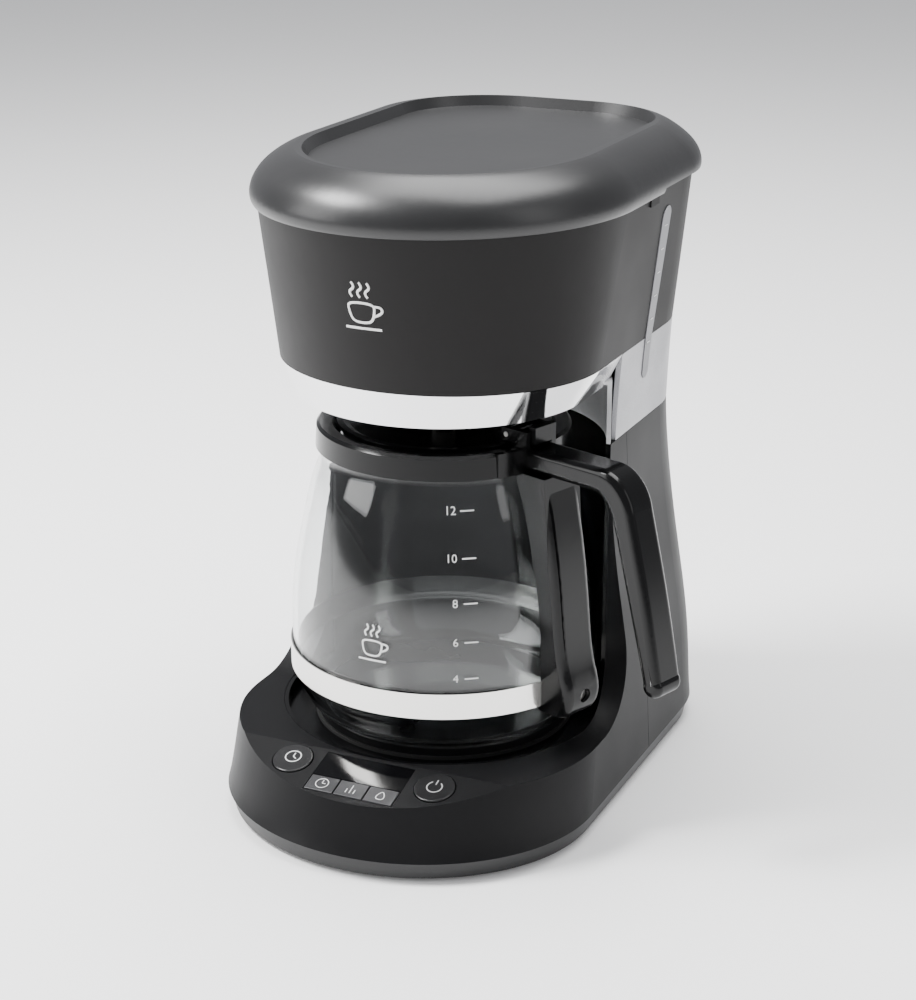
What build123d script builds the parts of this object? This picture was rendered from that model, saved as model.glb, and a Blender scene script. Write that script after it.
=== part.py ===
from build123d import *
import math
import os

# Drip coffee maker: one STEP file per physical piece, in millimetres, +Z up.
# The machine faces -Y.  While it is modelled, the carafe's axis is the Z axis;
# at the end everything is moved so that the origin lies at the bottom centre of its box.

# ---------------------------------------------------------------- driving sizes
WALL = 2.5              # moulded shell wall
SEAM = 0.3              # visible gap between two mouldings
FIT = 0.2               # clearance of a part that drops into another
RUN = 0.4               # clearance beside anything that moves

FOOT_HEIGHT = 2.0       # rubber feet lift the base this much
SKIRT_TOP = 10.5        # seam between the bottom pan and the base shell
CREASE_Z = 32.9         # front edge of the sloping control deck
DECK_Z = 41.4           # level deck round the warming plate
DECK_SLOPE = 15.1       # degrees, control deck leaning towards the user
WAIST_Z = 174.0         # top of the black lower body, bottom of the silver waist
HOUSING_Z = 217.0       # bottom of the upper housing
RIM_FRONT_Z = 289.4     # housing rim in front of the side tabs
RIM_REAR_Z = 291.6      # housing rim behind them
LID_Z = 290.0           # lower edge of the lid's rim
LID_TOP_Z = 314.0       # crest of the lid
PANEL_Z = 309.0         # sunken flat of the lid

BASE_HALF = 92.0        # half width at the skirt seam
BASE_FRONT = -119.0
BASE_BACK = 155.0
LID_HALF = 90.5
LID_FRONT = -91.0
LID_BACK = 158.0
WAIST_HALF = 75.5
WAIST_FRONT = -68.0
WAIST_BACK = 148.0

SPLIT_Y = 45.0          # seam between the base shell and the rear cover
COLUMN_Y = 22.0         # front of the column's wings beside the carafe
SWEEP = 37.0            # hollow sweep from the deck up into the wings
BAY_R = 79.0            # round bay that the carafe stands in
TAB_Y = 43.0            # small tabs under the lid's rim

PLATE_R = 62.0
PLATE_Z = 42.0          # top of the warming plate
GLASS_R = 74.0          # widest outside radius of the carafe's glass
GLASS_WALL = 2.3
GLASS_FOOT_R = 62.0
COLLAR_R = 61.0
COLLAR_Z = 173.0
COLLAR_TOP = 184.5
BAND_Z = 62.3
BAND_TOP = 74.8
HANDLE_AZ = -19.0       # degrees from +X, the way the handle points
HANDLE_HALF = 9.0       # half width of the grip
HANDLE_REACH = 139.5    # outermost radius of the grip

WELL_R = 64.0           # brew basket well, inside
WELL_OUT_R = WELL_R + 2
WELL_FLOOR = 205.0
RING_R = 70.0           # lower edge of the chrome ring
RING_Z = 201.0
BASKET_R = 60.0
BASKET_Z = 214.0
TANK_FLOOR = 130.0
TANK_TOP = 284.0
DECK_TOP = 286.0        # inner deck under the lid

HINGE_Y = 154.6         # lid hinge axis, just behind the housing's back wall
HINGE_Z = 291.0
HINGE_PIN_R = 1.5
KNUCKLE_R = 3.2

BUTTON_R = 9.6
BUTTON_X = 36.5
PANEL_MID_Y = -94.0     # middle of the display and key group
BUTTON_Y = -90.0
LENS_W = 45.0
LENS_L = 15.5
KEY_L = 9.8
KEY_GAP = 0.5
KEY_COUNT = 3

parts = {}


# ---------------------------------------------------------------- plan outlines
def outline(half, front, back, nose, corner, z, inset=0.0):
    """Plan shape: half an ellipse in front, straight sides, rounded rear corners."""
    half, front, back = half - inset, front + inset, back - inset
    nose, corner = nose - inset, corner - inset
    shoulder = front + nose
    diag = corner * math.sqrt(0.5)
    mid_x, mid_y = half - corner + diag, back - corner + diag
    edges = [
        EllipticalCenterArc((0, shoulder), half, nose, start_angle=180, arc_size=180),
        Line((half, shoulder), (half, back - corner)),
        ThreePointArc((half, back - corner), (mid_x, mid_y), (half - corner, back)),
        Line((half - corner, back), (corner - half, back)),
        ThreePointArc((corner - half, back), (-mid_x, mid_y), (-half, back - corner)),
        Line((-half, back - corner), (-half, shoulder)),
    ]
    return Pos(0, 0, z) * Face(Wire(edges))


# each row: half width, front, back, nose length, rear corner radius, height
BODY_ROWS = [
    (BASE_HALF, BASE_FRONT, BASE_BACK, 84, 56, SKIRT_TOP),
    (BASE_HALF - 0.8, BASE_FRONT + 5, BASE_BACK - 0.5, 83, 56, 22),
    (BASE_HALF - 2, BASE_FRONT + 12, BASE_BACK - 1, 82, 56, 44),
    (BASE_HALF - 5, BASE_FRONT + 22, BASE_BACK - 2, 82, 56, 72),
    (BASE_HALF - 10.5, BASE_FRONT + 34, BASE_BACK - 4, 80, 55, 108),
    (WAIST_HALF + 2, WAIST_FRONT - 8, WAIST_BACK + 1, 78, 55, 143),
    (WAIST_HALF, WAIST_FRONT, WAIST_BACK, 75, 55, WAIST_Z),
]
WAIST_ROWS = [
    (WAIST_HALF, WAIST_FRONT, WAIST_BACK, 75, 55, WAIST_Z),
    (WAIST_HALF + 0.9, WAIST_FRONT - 1.8, WAIST_BACK + 0.6, 73, 56, 196),
    (78, -72, WAIST_BACK + 1, 72, 58, HOUSING_Z),
]
HOUSING_ROWS = [
    (78, -72, WAIST_BACK + 1, 72, 58, HOUSING_Z),
    (87.2, -88, 151.2, 96, 66, RIM_REAR_Z),
]


def stack(rows, inset=0.0, ruled=False, low=None, high=None):
    """Solid lofted through the rows of plan outlines, all drawn in by inset."""
    faces = []
    for index, (half, front, back, nose, corner, z) in enumerate(rows):
        if low is not None and index == 0:
            z = low
        if high is not None and index == len(rows) - 1:
            z = high
        faces.append(outline(half, front, back, nose, corner, z, inset))
    return loft(faces, ruled=ruled)


def body(inset=0.0, extra=0.0):
    return stack(BODY_ROWS, inset, low=SKIRT_TOP - extra, high=WAIST_Z + extra)


def waist(inset=0.0, extra=0.0):
    return stack(WAIST_ROWS, inset, low=WAIST_Z - extra, high=HOUSING_Z + extra)


def housing(inset=0.0, extra=0.0):
    return stack(HOUSING_ROWS, inset, ruled=True, low=HOUSING_Z - extra,
                 high=RIM_REAR_Z + extra)


def block(x0, x1, y0, y1, z0, z1):
    """Box from its corners."""
    return Pos((x0 + x1) / 2, (y0 + y1) / 2, (z0 + z1) / 2) * Box(x1 - x0, y1 - y0, z1 - z0)


def rod(radius, z0, z1, x=0.0, y=0.0):
    """Upright cylinder."""
    return Pos(x, y, (z0 + z1) / 2) * Cylinder(radius, z1 - z0)


def ring(outer, inner, z0, z1, x=0.0, y=0.0):
    return rod(outer, z0, z1, x, y) - rod(inner, z0 - 1, z1 + 1, x, y)


def cross_rod(radius, x0, x1, y, z):
    """Cylinder along X."""
    return Pos((x0 + x1) / 2, y, z) * Rot(0, 90, 0) * Cylinder(radius, x1 - x0)


def turned(points):
    """Solid of revolution about Z from (radius, height) points."""
    return revolve(make_face(Polyline(*[(r, 0, z) for r, z in points], close=True)), Axis.Z)


def whole(shape):
    """The largest solid of a shape, for cuts that leave crumbs."""
    return max(shape.solids(), key=lambda s: s.volume)


# ---------------------------------------------------------------- deck and control panel
slope = math.tan(math.radians(DECK_SLOPE))
crease_y = -111.0


def deck_z(y):
    """Height of the sloping control deck at y."""
    return CREASE_Z + (y - crease_y) * slope


slope_end_y = crease_y + (DECK_Z - CREASE_Z) / slope
panel_plane = Plane((0, PANEL_MID_Y, deck_z(PANEL_MID_Y)), x_dir=(1, 0, 0),
                    z_dir=(0, -math.sin(math.radians(DECK_SLOPE)),
                           math.cos(math.radians(DECK_SLOPE))))


def deck_cutter(drop=0.0):
    """Everything above the deck and in front of the column's wings."""
    start = BASE_FRONT - 20
    sweep_y = COLUMN_Y - SWEEP
    turn = SWEEP + drop
    z = DECK_Z - drop
    diag = turn * math.sqrt(0.5)
    centre_z = DECK_Z + SWEEP
    edges = [
        Line((start, deck_z(start) - drop), (slope_end_y, z)),
        Line((slope_end_y, z), (sweep_y, z)),
        ThreePointArc((sweep_y, z), (sweep_y + diag, centre_z - diag), (sweep_y + turn, centre_z)),
        Line((sweep_y + turn, centre_z), (sweep_y + turn, WAIST_Z + 60)),
        Line((sweep_y + turn, WAIST_Z + 60), (start, WAIST_Z + 60)),
        Line((start, WAIST_Z + 60), (start, deck_z(start) - drop)),
    ]
    return extrude(Plane.YZ * Face(Wire(edges)), 130, both=True)


def on_panel(shape, x, y, up=0.0):
    """Place a shape on the sloping control deck; y is measured along the slope."""
    return panel_plane * Pos(x, y, up) * shape


panel_half = (LENS_L + KEY_GAP + KEY_L) / 2
lens_y = panel_half - LENS_L / 2
key_y = -panel_half + KEY_L / 2
key_pitch = LENS_W / KEY_COUNT
key_w = key_pitch - KEY_GAP
button_slope_y = (BUTTON_Y - PANEL_MID_Y) / math.cos(math.radians(DECK_SLOPE))
BUTTON_TRAVEL = 1.0
BOARD_DROP = 9.0        # control board below the deck's face
BOARD_T = 1.6
SWITCH_H = 2.6

round_buttons = {"start_button": BUTTON_X, "delay_button": -BUTTON_X}
key_names = ["hour_button", "minute_button", "clean_button"]
key_x = [(i - (KEY_COUNT - 1) / 2) * key_pitch for i in range(KEY_COUNT)]

# ---------------------------------------------------------------- fastener places
pan_screws = [(-62, -62), (62, -62), (-78, 10), (78, 10)]
cover_screws = [(-22, 145.5), (22, 145.5)]
SCREW_R = 1.5
SCREW_HEAD_R = 3.0
BOSS_R = 4.0
foot_spots = [(-58, -78), (58, -78), (-58, 120), (58, 120)]
FOOT_R = 7.5


def screw(x, y, head_z, tip_z):
    """Pan-head screw driven upwards."""
    return rod(SCREW_HEAD_R, head_z, head_z + 1.8, x, y) + rod(SCREW_R, head_z + 1.8, tip_z, x, y)


# ---------------------------------------------------------------- lower body
pan_rows = [
    (BASE_HALF - 2.6, BASE_FRONT + 2.8, BASE_BACK - 2.2, 82, 55, FOOT_HEIGHT),
    (BASE_HALF - 0.8, BASE_FRONT + 0.8, BASE_BACK - 0.8, 83.5, 56, SKIRT_TOP - SEAM),
]
PAN_FLOOR = FOOT_HEIGHT + 2.2


def bottom_pan():
    pan = stack(pan_rows) - stack(pan_rows, WALL, low=PAN_FLOOR, high=SKIRT_TOP + 2)
    for x, y in pan_screws + cover_screws:
        pan -= rod(SCREW_R + 0.1, 0, 20, x, y)
        pan -= rod(SCREW_HEAD_R + 0.3, 0, FOOT_HEIGHT + 1.0, x, y)
    for x, y in foot_spots:
        pan -= rod(2.6, 0, 10, x, y)
    for i in range(7):
        pan -= block(-26, 26, 20 + 9 * i, 23.5 + 9 * i, 0, 10)
    return pan


lower_shell = body() - deck_cutter()
lower_hollow = body(WALL, extra=3) - deck_cutter(WALL)
bay_cut = rod(BAY_R + FIT, DECK_Z - 1.4, WAIST_Z + 60)


def base_shell():
    shell = lower_shell - lower_hollow
    for x, y in pan_screws:
        boss = rod(BOSS_R, PAN_FLOOR + 0.1, DECK_Z - 1, x, y)
        shell += boss & lower_shell
        shell -= rod(SCREW_R, 0, DECK_Z - 12, x, y)
    shell -= rod(BAY_R + FIT, 0, WAIST_Z + 60)
    shell &= block(-120, 120, -200, SPLIT_Y - SEAM / 2, 0, WAIST_Z + 60)
    for x in round_buttons.values():
        shell -= on_panel(Cylinder(BUTTON_R + RUN, 14), x, button_slope_y)
    opening = Box(LENS_W + 2 * FIT, 2 * panel_half + 2 * RUN, 14)
    shell -= on_panel(opening, 0, 0)
    return whole(shell)


def rear_cover():
    cover = lower_shell - lower_hollow
    for x, y in cover_screws:
        post = block(x - BOSS_R, x + BOSS_R, y - BOSS_R, BASE_BACK, PAN_FLOOR + 0.1, 40)
        cover += post & body()
        cover -= rod(SCREW_R, 0, 30, x, y)
    cover += block(-30, 30, TANK_LEDGE_Y, BASE_BACK, TANK_FLOOR - 5, TANK_FLOOR - 0.1) & body()
    cover -= rod(BAY_R + FIT, 0, WAIST_Z + 60)
    cover &= block(-120, 120, SPLIT_Y + SEAM / 2, 200, 0, WAIST_Z + 60)
    cover -= Pos(CORD_X, BASE_BACK, CORD_Z) * Rot(90, 0, 0) * Cylinder(CORD_HOLE_R, 30)
    for i in range(6):
        cover -= block(-30, 30, 120, 200, 62 + 8 * i, 65 + 8 * i)
    return whole(cover)


TANK_LEDGE_Y = 133.0
CORD_X = -40.0
CORD_Z = 34.0
CORD_HOLE_R = 7.0
CORD_BORE_R = 3.6


def cord_grommet():
    """Bush in the rear wall that the mains lead would pass through."""
    back = BASE_BACK - 0.6
    bush = Cylinder(CORD_HOLE_R - 0.1, 9) + Pos(0, 0, -4) * Cylinder(CORD_HOLE_R + 2, 1.6)
    bush -= Cylinder(CORD_BORE_R, 30)
    placed = Pos(CORD_X, back - 1.4, CORD_Z) * Rot(-90, 0, 0) * bush
    return placed - (body() - body(WALL + 0.05, extra=3) - rear_hole)


rear_hole = Pos(CORD_X, BASE_BACK, CORD_Z) * Rot(90, 0, 0) * Cylinder(CORD_HOLE_R, 40)

LINER_FLOOR = 34.0
LINER_TOP = WAIST_Z
LINER_T = 2.0
LINER_HOLE_R = 58.0
WING_ANGLE = 17.0       # the bay wall starts this far behind the X axis


def wedge_behind(angle, radius, z0, z1):
    """Prism that holds everything behind a pair of lines at the given angle."""
    x = radius * math.cos(math.radians(angle))
    y = radius * math.sin(math.radians(angle))
    points = [(x, y), (2 * radius, y), (2 * radius, 2 * radius), (-2 * radius, 2 * radius),
              (-2 * radius, y), (-x, y)]
    return Pos(0, 0, z0) * extrude(make_face(Polyline(*points, close=True)), z1 - z0)


def bay_liner():
    """Glossy well round the warming plate and the wall behind the carafe."""
    inner = BAY_R - LINER_T
    tub = rod(BAY_R, LINER_FLOOR, DECK_Z - 0.2) - rod(inner, LINER_FLOOR + LINER_T, DECK_Z + 1)
    wall = ring(BAY_R, inner, DECK_Z - 0.2, LINER_TOP)
    wall &= wedge_behind(WING_ANGLE, BAY_R, 0, 400)
    wall -= wing_front(0.0)
    liner = tub + wall
    liner -= rod(LINER_HOLE_R, 0, 60)
    return whole(liner)


def wing_front(shift):
    """Space in front of the sweep, so that the bay wall follows the wings' edge."""
    return deck_cutter(shift) & block(-130, 130, -200, 40, DECK_Z - 0.1, 400)


def plate_seal():
    return ring(PLATE_R + 1.5, LINER_HOLE_R + 1.5, LINER_FLOOR + LINER_T, LINER_FLOOR + LINER_T + 1.5)


def warming_plate():
    seal_top = LINER_FLOOR + LINER_T + 1.5
    plate = rod(PLATE_R, seal_top, PLATE_Z) - rod(PLATE_R - 1.2, 0, PLATE_Z - 1.2)
    top = plate.edges().filter_by(GeomType.CIRCLE).group_by(Axis.Z)[-1]
    return fillet(top, 1.0)


# ---------------------------------------------------------------- silver waist, chrome ring
WINDOW_Y = 65.0
WINDOW_Z = 196.0
WINDOW_TOP = 281.0
WINDOW_LOW_W = 8.0
WINDOW_TOP_W = 11.0


def window_slot(grow):
    """Upright slot with round ends, wider at the top, through the right side wall."""
    low, top = WINDOW_LOW_W / 2, WINDOW_TOP_W / 2
    z0, z1 = WINDOW_Z + low, WINDOW_TOP - top
    face = make_face(Polyline((WINDOW_Y - low, z0), (WINDOW_Y + low, z0), (WINDOW_Y + top, z1),
                              (WINDOW_Y - top, z1), close=True))
    face += Pos(WINDOW_Y, z0) * Circle(low)
    face += Pos(WINDOW_Y, z1) * Circle(top)
    face = offset(face, grow) if grow else face
    return extrude(Plane.YZ.offset(60) * face, 50)


def waist_band():
    band = waist() - waist(WALL, extra=3)
    band &= block(-120, 120, BAND_FRONT_Y, 200, WAIST_Z + SEAM, HOUSING_Z - SEAM)
    band -= rod(BAY_R + FIT + 0.1, 0, 400)
    return (band - window_slot(0.15)).solids()


BAND_FRONT_Y = 30.0
CEILING_Z = 203.0       # plate that closes the bay's top round the brew basket's well
CEILING_T = 1.6
CHROME_T = 2.0


def bowl_solid(inset):
    """The bowl under the housing, from the housing's bottom edge down to its round lip."""
    low = outline(RING_R, -RING_R, WAIST_BACK, RING_R, 50, RING_Z - inset / 10, inset)
    top = outline(78, -72, WAIST_BACK + 1, 72, 58, HOUSING_Z - SEAM + inset / 10, inset)
    return loft([low, top], ruled=True)


def chrome_ring():
    """Bright bowl-shaped ring under the housing, with the frame round the bay's top."""
    bowl = bowl_solid(0) - bowl_solid(CHROME_T)
    bowl += rod(RING_R - 0.5, RING_Z, RING_Z + 1.6) - rod(RING_R - 5, 0, 400)
    bowl &= block(-120, 120, -200, BAND_FRONT_Y - SEAM, 0, 400)
    bowl += ring(RING_R - 0.5, WELL_OUT_R + FIT, CEILING_Z, CEILING_Z + CEILING_T)
    frame = ring(BAY_R, BAY_R - CHROME_T, WAIST_Z + SEAM, CEILING_Z + CEILING_T)
    frame += ring(BAY_R - 0.5, WELL_OUT_R + FIT, CEILING_Z, CEILING_Z + CEILING_T)
    frame &= wedge_behind(WING_ANGLE, BAY_R, 0, 400)
    return whole(bowl + frame)


def upper_housing():
    shell = housing() - housing(WALL, extra=3)
    shell &= block(-120, 120, -200, 200, HOUSING_Z, RIM_REAR_Z)
    shell -= block(-120, 120, -200, TAB_Y + 5, RIM_FRONT_Z, 400)
    for side in (-1, 1):
        tab = block(side * 84.2 - 3.2, side * 84.2 + 3.2, TAB_Y - 5.5, TAB_Y + 5.5,
                    RIM_FRONT_Z - 4, RIM_FRONT_Z)
        shell += tab - housing(WALL - 0.5, extra=3)
    for x in HINGE_X:
        lug = block(x - 4, x + 4, 149, HINGE_Y, HINGE_Z - 9, HINGE_Z)
        lug += cross_rod(KNUCKLE_R, x - 4, x + 4, HINGE_Y, HINGE_Z)
        web = block(x - 4, x + 4, HINGE_Y - KNUCKLE_R, HINGE_Y + KNUCKLE_R, HINGE_Z - 6, HINGE_Z)
        lug += web
        lug -= housing(WALL - 0.5, extra=9)
        shell += lug
        shell -= cross_rod(HINGE_PIN_R, x - 5, x + 5, HINGE_Y, HINGE_Z)
    shell -= window_slot(0.15)
    return whole(shell)


HINGE_X = [-14.0, 14.0]
LID_KNUCKLE_W = 7.0


def water_window():
    skin = waist(-0.4, extra=0) + housing(-0.4, extra=0)
    core = waist(WALL - 0.6, extra=5) + housing(WALL - 0.6, extra=5)
    return whole((skin - core) & window_slot(0))


# ---------------------------------------------------------------- water and brewing
TANK_GAP = 3.0          # between the tank and the housing's inside
TANK_WALL = 2.0
TANK_FRONT_Y = 30.0
RISER = (28.0, 112.0)   # riser hose place in plan
RISER_R = 5.0
HOSE_BORE_R = 3.5
INTAKE = (-28.0, 118.0)
CHIMNEY_R = 8.0


TANK_ROWS = [
    (WAIST_HALF + 2, WAIST_FRONT, WAIST_BACK + 1, 75, 55, TANK_FLOOR - 4),
    (WAIST_HALF, WAIST_FRONT, WAIST_BACK, 75, 55, WAIST_Z),
    (78, -72, WAIST_BACK + 1, 72, 58, HOUSING_Z),
    (86.5, -86.8, 151.0, 94, 65, TANK_TOP + 4),
]


def tank_space(grow):
    """Space of the tank behind the bay and the basket well, drawn in by grow."""
    space = stack(TANK_ROWS, WALL + TANK_GAP + grow, ruled=True)
    space &= block(-120, 120, TANK_FRONT_Y + grow, 200, TANK_FLOOR + grow, TANK_TOP + grow)
    space -= rod(BAY_R + 3 + grow, 0, WELL_FLOOR + 4 + grow)
    space -= rod(WELL_R + 6 + grow, 0, 400)
    return whole(space)


def water_tank():
    tank = tank_space(0) - tank_space(TANK_WALL)
    chimney = rod(CHIMNEY_R, TANK_FLOOR, DECK_TOP, *RISER)
    tank += chimney
    tank -= rod(CHIMNEY_R - 1.8, 0, 400, *RISER)
    nipple = rod(HOSE_BORE_R, TANK_FLOOR - 12, TANK_FLOOR + 1, *INTAKE)
    tank += nipple
    tank -= rod(HOSE_BORE_R - 1.2, TANK_FLOOR - 20, TANK_FLOOR + 6, *INTAKE)
    return whole(tank)


VALVE_HOLE_R = 11.0


def inner_deck():
    """Basket well and the deck round it, one moulding that drops into the housing."""
    deck = housing(WALL + FIT, extra=3) & block(-120, 120, -200, 200, TANK_TOP, DECK_TOP)
    deck -= tank_space(TANK_WALL) + tank_space(TANK_WALL).moved(Location((0, 0, 3)))
    well = rod(WELL_OUT_R, WELL_FLOOR, DECK_TOP) - rod(WELL_R, WELL_FLOOR + 2, DECK_TOP + 1)
    deck = deck - rod(WELL_R, 0, 400) + well
    deck -= rod(VALVE_HOLE_R, 0, 400)
    return whole(deck)


BASKET_TOP = 283.0
BASKET_LOW_R = 45.0
SEAT_Z = BASKET_Z - 6   # lower face of the basket's drip boss
VALVE_R = 4.0
VALVE_LIFT = 3.5


def brew_basket():
    points = [(0.01, BASKET_Z), (BASKET_LOW_R, BASKET_Z), (BASKET_R - 2, BASKET_TOP - 3),
              (BASKET_R + 1.5, BASKET_TOP - 3), (BASKET_R + 1.5, BASKET_TOP),
              (BASKET_R - 3.6, BASKET_TOP), (BASKET_LOW_R - 1.4, BASKET_Z + 2),
              (0.01, BASKET_Z + 2)]
    basket = turned(points)
    basket += rod(9, SEAT_Z, BASKET_Z + 0.5)
    basket -= rod(VALVE_R + RUN, 0, 400)
    basket -= rod(6.4, BASKET_Z - 0.5, BASKET_Z + 3)
    for i in range(24):
        rib = block(14, BASKET_LOW_R - 4, -0.6, 0.6, BASKET_Z + 1.9, BASKET_Z + 3.4)
        basket += Rot(0, 0, 15 * i) * rib
    foot = ring(30, 28, WELL_FLOOR + 2, BASKET_Z + 0.5)
    return basket + foot


VALVE_TIP = 195.9
VALVE_PAD_R = 8.0


def drip_valve():
    """Plunger of the drip stop, held up by the hub of the carafe's lid."""
    valve = rod(VALVE_R, VALVE_TIP + 2, BASKET_Z + 3)
    valve += rod(VALVE_PAD_R, VALVE_TIP, VALVE_TIP + 2)
    valve += rod(5.6, BASKET_Z + 3, BASKET_Z + 5.5)
    return valve


def drip_spring():
    """Coil between the plunger's pad and the basket's boss."""
    height = SEAT_Z - (VALVE_TIP + 2) - 1.3
    path = Helix(height / 4, height, 6.0)
    wire = Plane(path @ 0, z_dir=path % 0) * Circle(0.45)
    return Pos(0, 0, VALVE_TIP + 2.65) * sweep(wire, path=path, is_frenet=True)


HEATER_R = 42.0
HEATER_Z = 34.6
heater_x = 17.0


def heater_tube():
    """Cast aluminium loop: water tube and heating rod side by side under the plate."""
    start = math.degrees(math.asin(heater_x / HEATER_R))
    bend = CenterArc((0, 0, HEATER_Z), HEATER_R, 90 + start, 360 - 2 * start)
    loop = sweep(Plane(bend @ 0, z_dir=bend % 0) * RectangleRounded(10.4, 10.4, 4), path=bend)
    loop += ring(HEATER_R + 4.8, HEATER_R - 4.8, PLATE_Z - 4, PLATE_Z - 1.4) & (
        block(-60, 60, -60, 30, 0, 60))
    for side in (-1, 1):
        x = side * heater_x
        arm = block(x - 4.6, x + 4.6, heater_gap_y - 2, NIPPLE_Y + 4.2, HEATER_Z - 4.6, HEATER_Z + 4.6)
        loop += arm + rod(HOSE_BORE_R - 0.1, HOSE_END_Z - 2, HEATER_Z, x, NIPPLE_Y)
    return loop


heater_gap_y = math.sqrt(HEATER_R ** 2 - heater_x ** 2)
NIPPLE_Y = 48.0         # the loop's ends turn down here, inside the hole of the bay's floor
HOSE_END_Z = 22.0
HOSE_LOW_Z = 11.0       # hoses run along the bottom pan and then up behind the bay


def heater_clamp():
    """Pressed steel bridge that holds the heater up against the plate."""
    bar = block(-66, 66, -7, 7, HEATER_Z - 6.8, HEATER_Z - 5.3)
    for side in (-1, 1):
        bar += block(side * 64.5 - 4, side * 64.5 + 4, -7, 7, HEATER_Z - 6.8, LINER_FLOOR)
        bar -= rod(1.6, 0, 60, side * 64.5, 0)
    return bar


def thermostat():
    body_part = rod(8, HEATER_Z - 5.2, PLATE_Z - 1.3)
    return body_part + block(-3, 3, -14, 14, HEATER_Z + 2, HEATER_Z + 2.8)


def thermal_fuses():
    return [cross_rod(2.4, x - 7, x + 7, 0, HEATER_Z - 2.8) for x in (-22, 22)]


HOSE_TURN = 11.0


def hose(points, radii):
    """Round hose with its bore, along straight runs joined by tangent arcs."""
    path = FilletPolyline(*points, radius=radii)
    section = Circle(RISER_R) - Circle(HOSE_BORE_R)
    return sweep(Plane(path @ 0, z_dir=path % 0) * section, path=path)


def inlet_hose():
    x, y = INTAKE
    points = [(-heater_x, NIPPLE_Y, HEATER_Z - 5.6), (-heater_x, NIPPLE_Y, HOSE_LOW_Z),
              (x, y, HOSE_LOW_Z), (x, y, TANK_FLOOR - 11)]
    return hose(points, [HOSE_TURN, HOSE_TURN])


def riser_hose():
    x, y = RISER
    points = [(heater_x, NIPPLE_Y, HEATER_Z - 5.6), (heater_x, NIPPLE_Y, HOSE_LOW_Z),
              (x, y, HOSE_LOW_Z), (x, y, DECK_TOP - 8)]
    return hose(points, [HOSE_TURN, HOSE_TURN])


def check_valve():
    """One-way valve body round the tank's outlet nipple."""
    x, y = INTAKE
    sleeve = ring(RISER_R + 2.4, HOSE_BORE_R + 0.1, TANK_FLOOR - 10.5, TANK_FLOOR - 0.2, x, y)
    return sleeve


def hose_clips():
    clips = []
    for side in (-1, 1):
        x = side * heater_x
        clips.append(ring(RISER_R + 1.3, RISER_R + 0.05, HOSE_END_Z + 0.5, HOSE_END_Z + 5.5, x,
                          NIPPLE_Y))
    return clips


def outlet_nozzle():
    """Elbow on top of the riser that feeds the shower head in the lid."""
    x, y = RISER
    body_top = ring(CHIMNEY_R + 3, HOSE_BORE_R, DECK_TOP + 0.1, DECK_TOP + 2, x, y)
    stem = ring(HOSE_BORE_R - 0.1, 2.2, DECK_TOP - 14, DECK_TOP + 4.4, x, y)
    cap = ring(5, 2.2, DECK_TOP + 1, DECK_TOP + 4.4, x, y)
    return body_top + stem + cap


# ---------------------------------------------------------------- controls
def display_lens():
    lens = on_panel(Box(LENS_W, LENS_L, 2), 0, lens_y, -1.0)
    return lens


def switch_top():
    return -BOARD_DROP + SWITCH_H


def button_stem(length):
    return Cylinder(1.6, length)


def round_button(x):
    cap = Cylinder(BUTTON_R, 3.2)
    cap = fillet(cap.edges().group_by(Axis.Z)[-1], 0.6)
    base_up = 0.7 - 3.2
    stem_top = base_up
    stem_low = switch_top() + BUTTON_TRAVEL + 0.3
    button = on_panel(cap, x, button_slope_y, 0.7 - 1.6)
    button += on_panel(button_stem(stem_top - stem_low + 0.2), x, button_slope_y,
                       (stem_top + stem_low) / 2 + 0.1)
    return button


def key_button(x):
    cap = Box(key_w, KEY_L, 3.0)
    cap = fillet(cap.edges().group_by(Axis.Z)[-1], 0.4)
    stem_top = 0.3 - 3.0
    stem_low = switch_top() + BUTTON_TRAVEL + 0.3
    button = on_panel(cap, x, key_y, 0.3 - 1.5)
    button += on_panel(button_stem(stem_top - stem_low + 0.2), x, key_y,
                       (stem_top + stem_low) / 2 + 0.1)
    return button


def control_board():
    """Circuit board hung under the deck by two ribs beside the display."""
    board = on_panel(Box(92, 24, BOARD_T), 0, 1, -BOARD_DROP - BOARD_T / 2)
    rib_h = BOARD_DROP - WALL
    for side in (-1, 1):
        board += on_panel(Box(2.6, 18, rib_h), side * (LENS_W / 2 + 2.6), 1, rib_h / 2 - BOARD_DROP)
    return board & body(WALL + 0.5, extra=3)


def lcd_module():
    module = on_panel(Box(LENS_W - 3, LENS_L - 3, 5.2), 0, lens_y, -BOARD_DROP + 2.7)
    return module


def panel_switches():
    spots = [(x, button_slope_y) for x in round_buttons.values()]
    spots += [(x, key_y) for x in key_x]
    return [on_panel(Box(6, 6, SWITCH_H), x, y, -BOARD_DROP + SWITCH_H / 2) for x, y in spots]


def power_board():
    z = PAN_FLOOR + 4
    board = block(-74, -50, -48, 30, z, z + 1.6)
    relay = block(-70, -55, -40, -20, z + 1.7, z + 17)
    transformer = block(-71, -54, -10, 14, z + 1.7, z + 18)
    posts = [rod(2.4, PAN_FLOOR, z, x, y) for x, y in ((-70, -44), (-54, -44), (-70, 26), (-54, 26))]
    return [board, relay, transformer] + posts


def rubber_feet():
    feet = []
    for x, y in foot_spots:
        foot = rod(FOOT_R, 0, FOOT_HEIGHT, x, y) + rod(2.5, FOOT_HEIGHT, PAN_FLOOR + 1, x, y)
        feet.append(foot)
    return feet


def base_screws():
    head = FOOT_HEIGHT + 1.0 - 1.8
    screws = [screw(x, y, head, 20) for x, y in pan_screws + cover_screws]
    return screws


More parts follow.
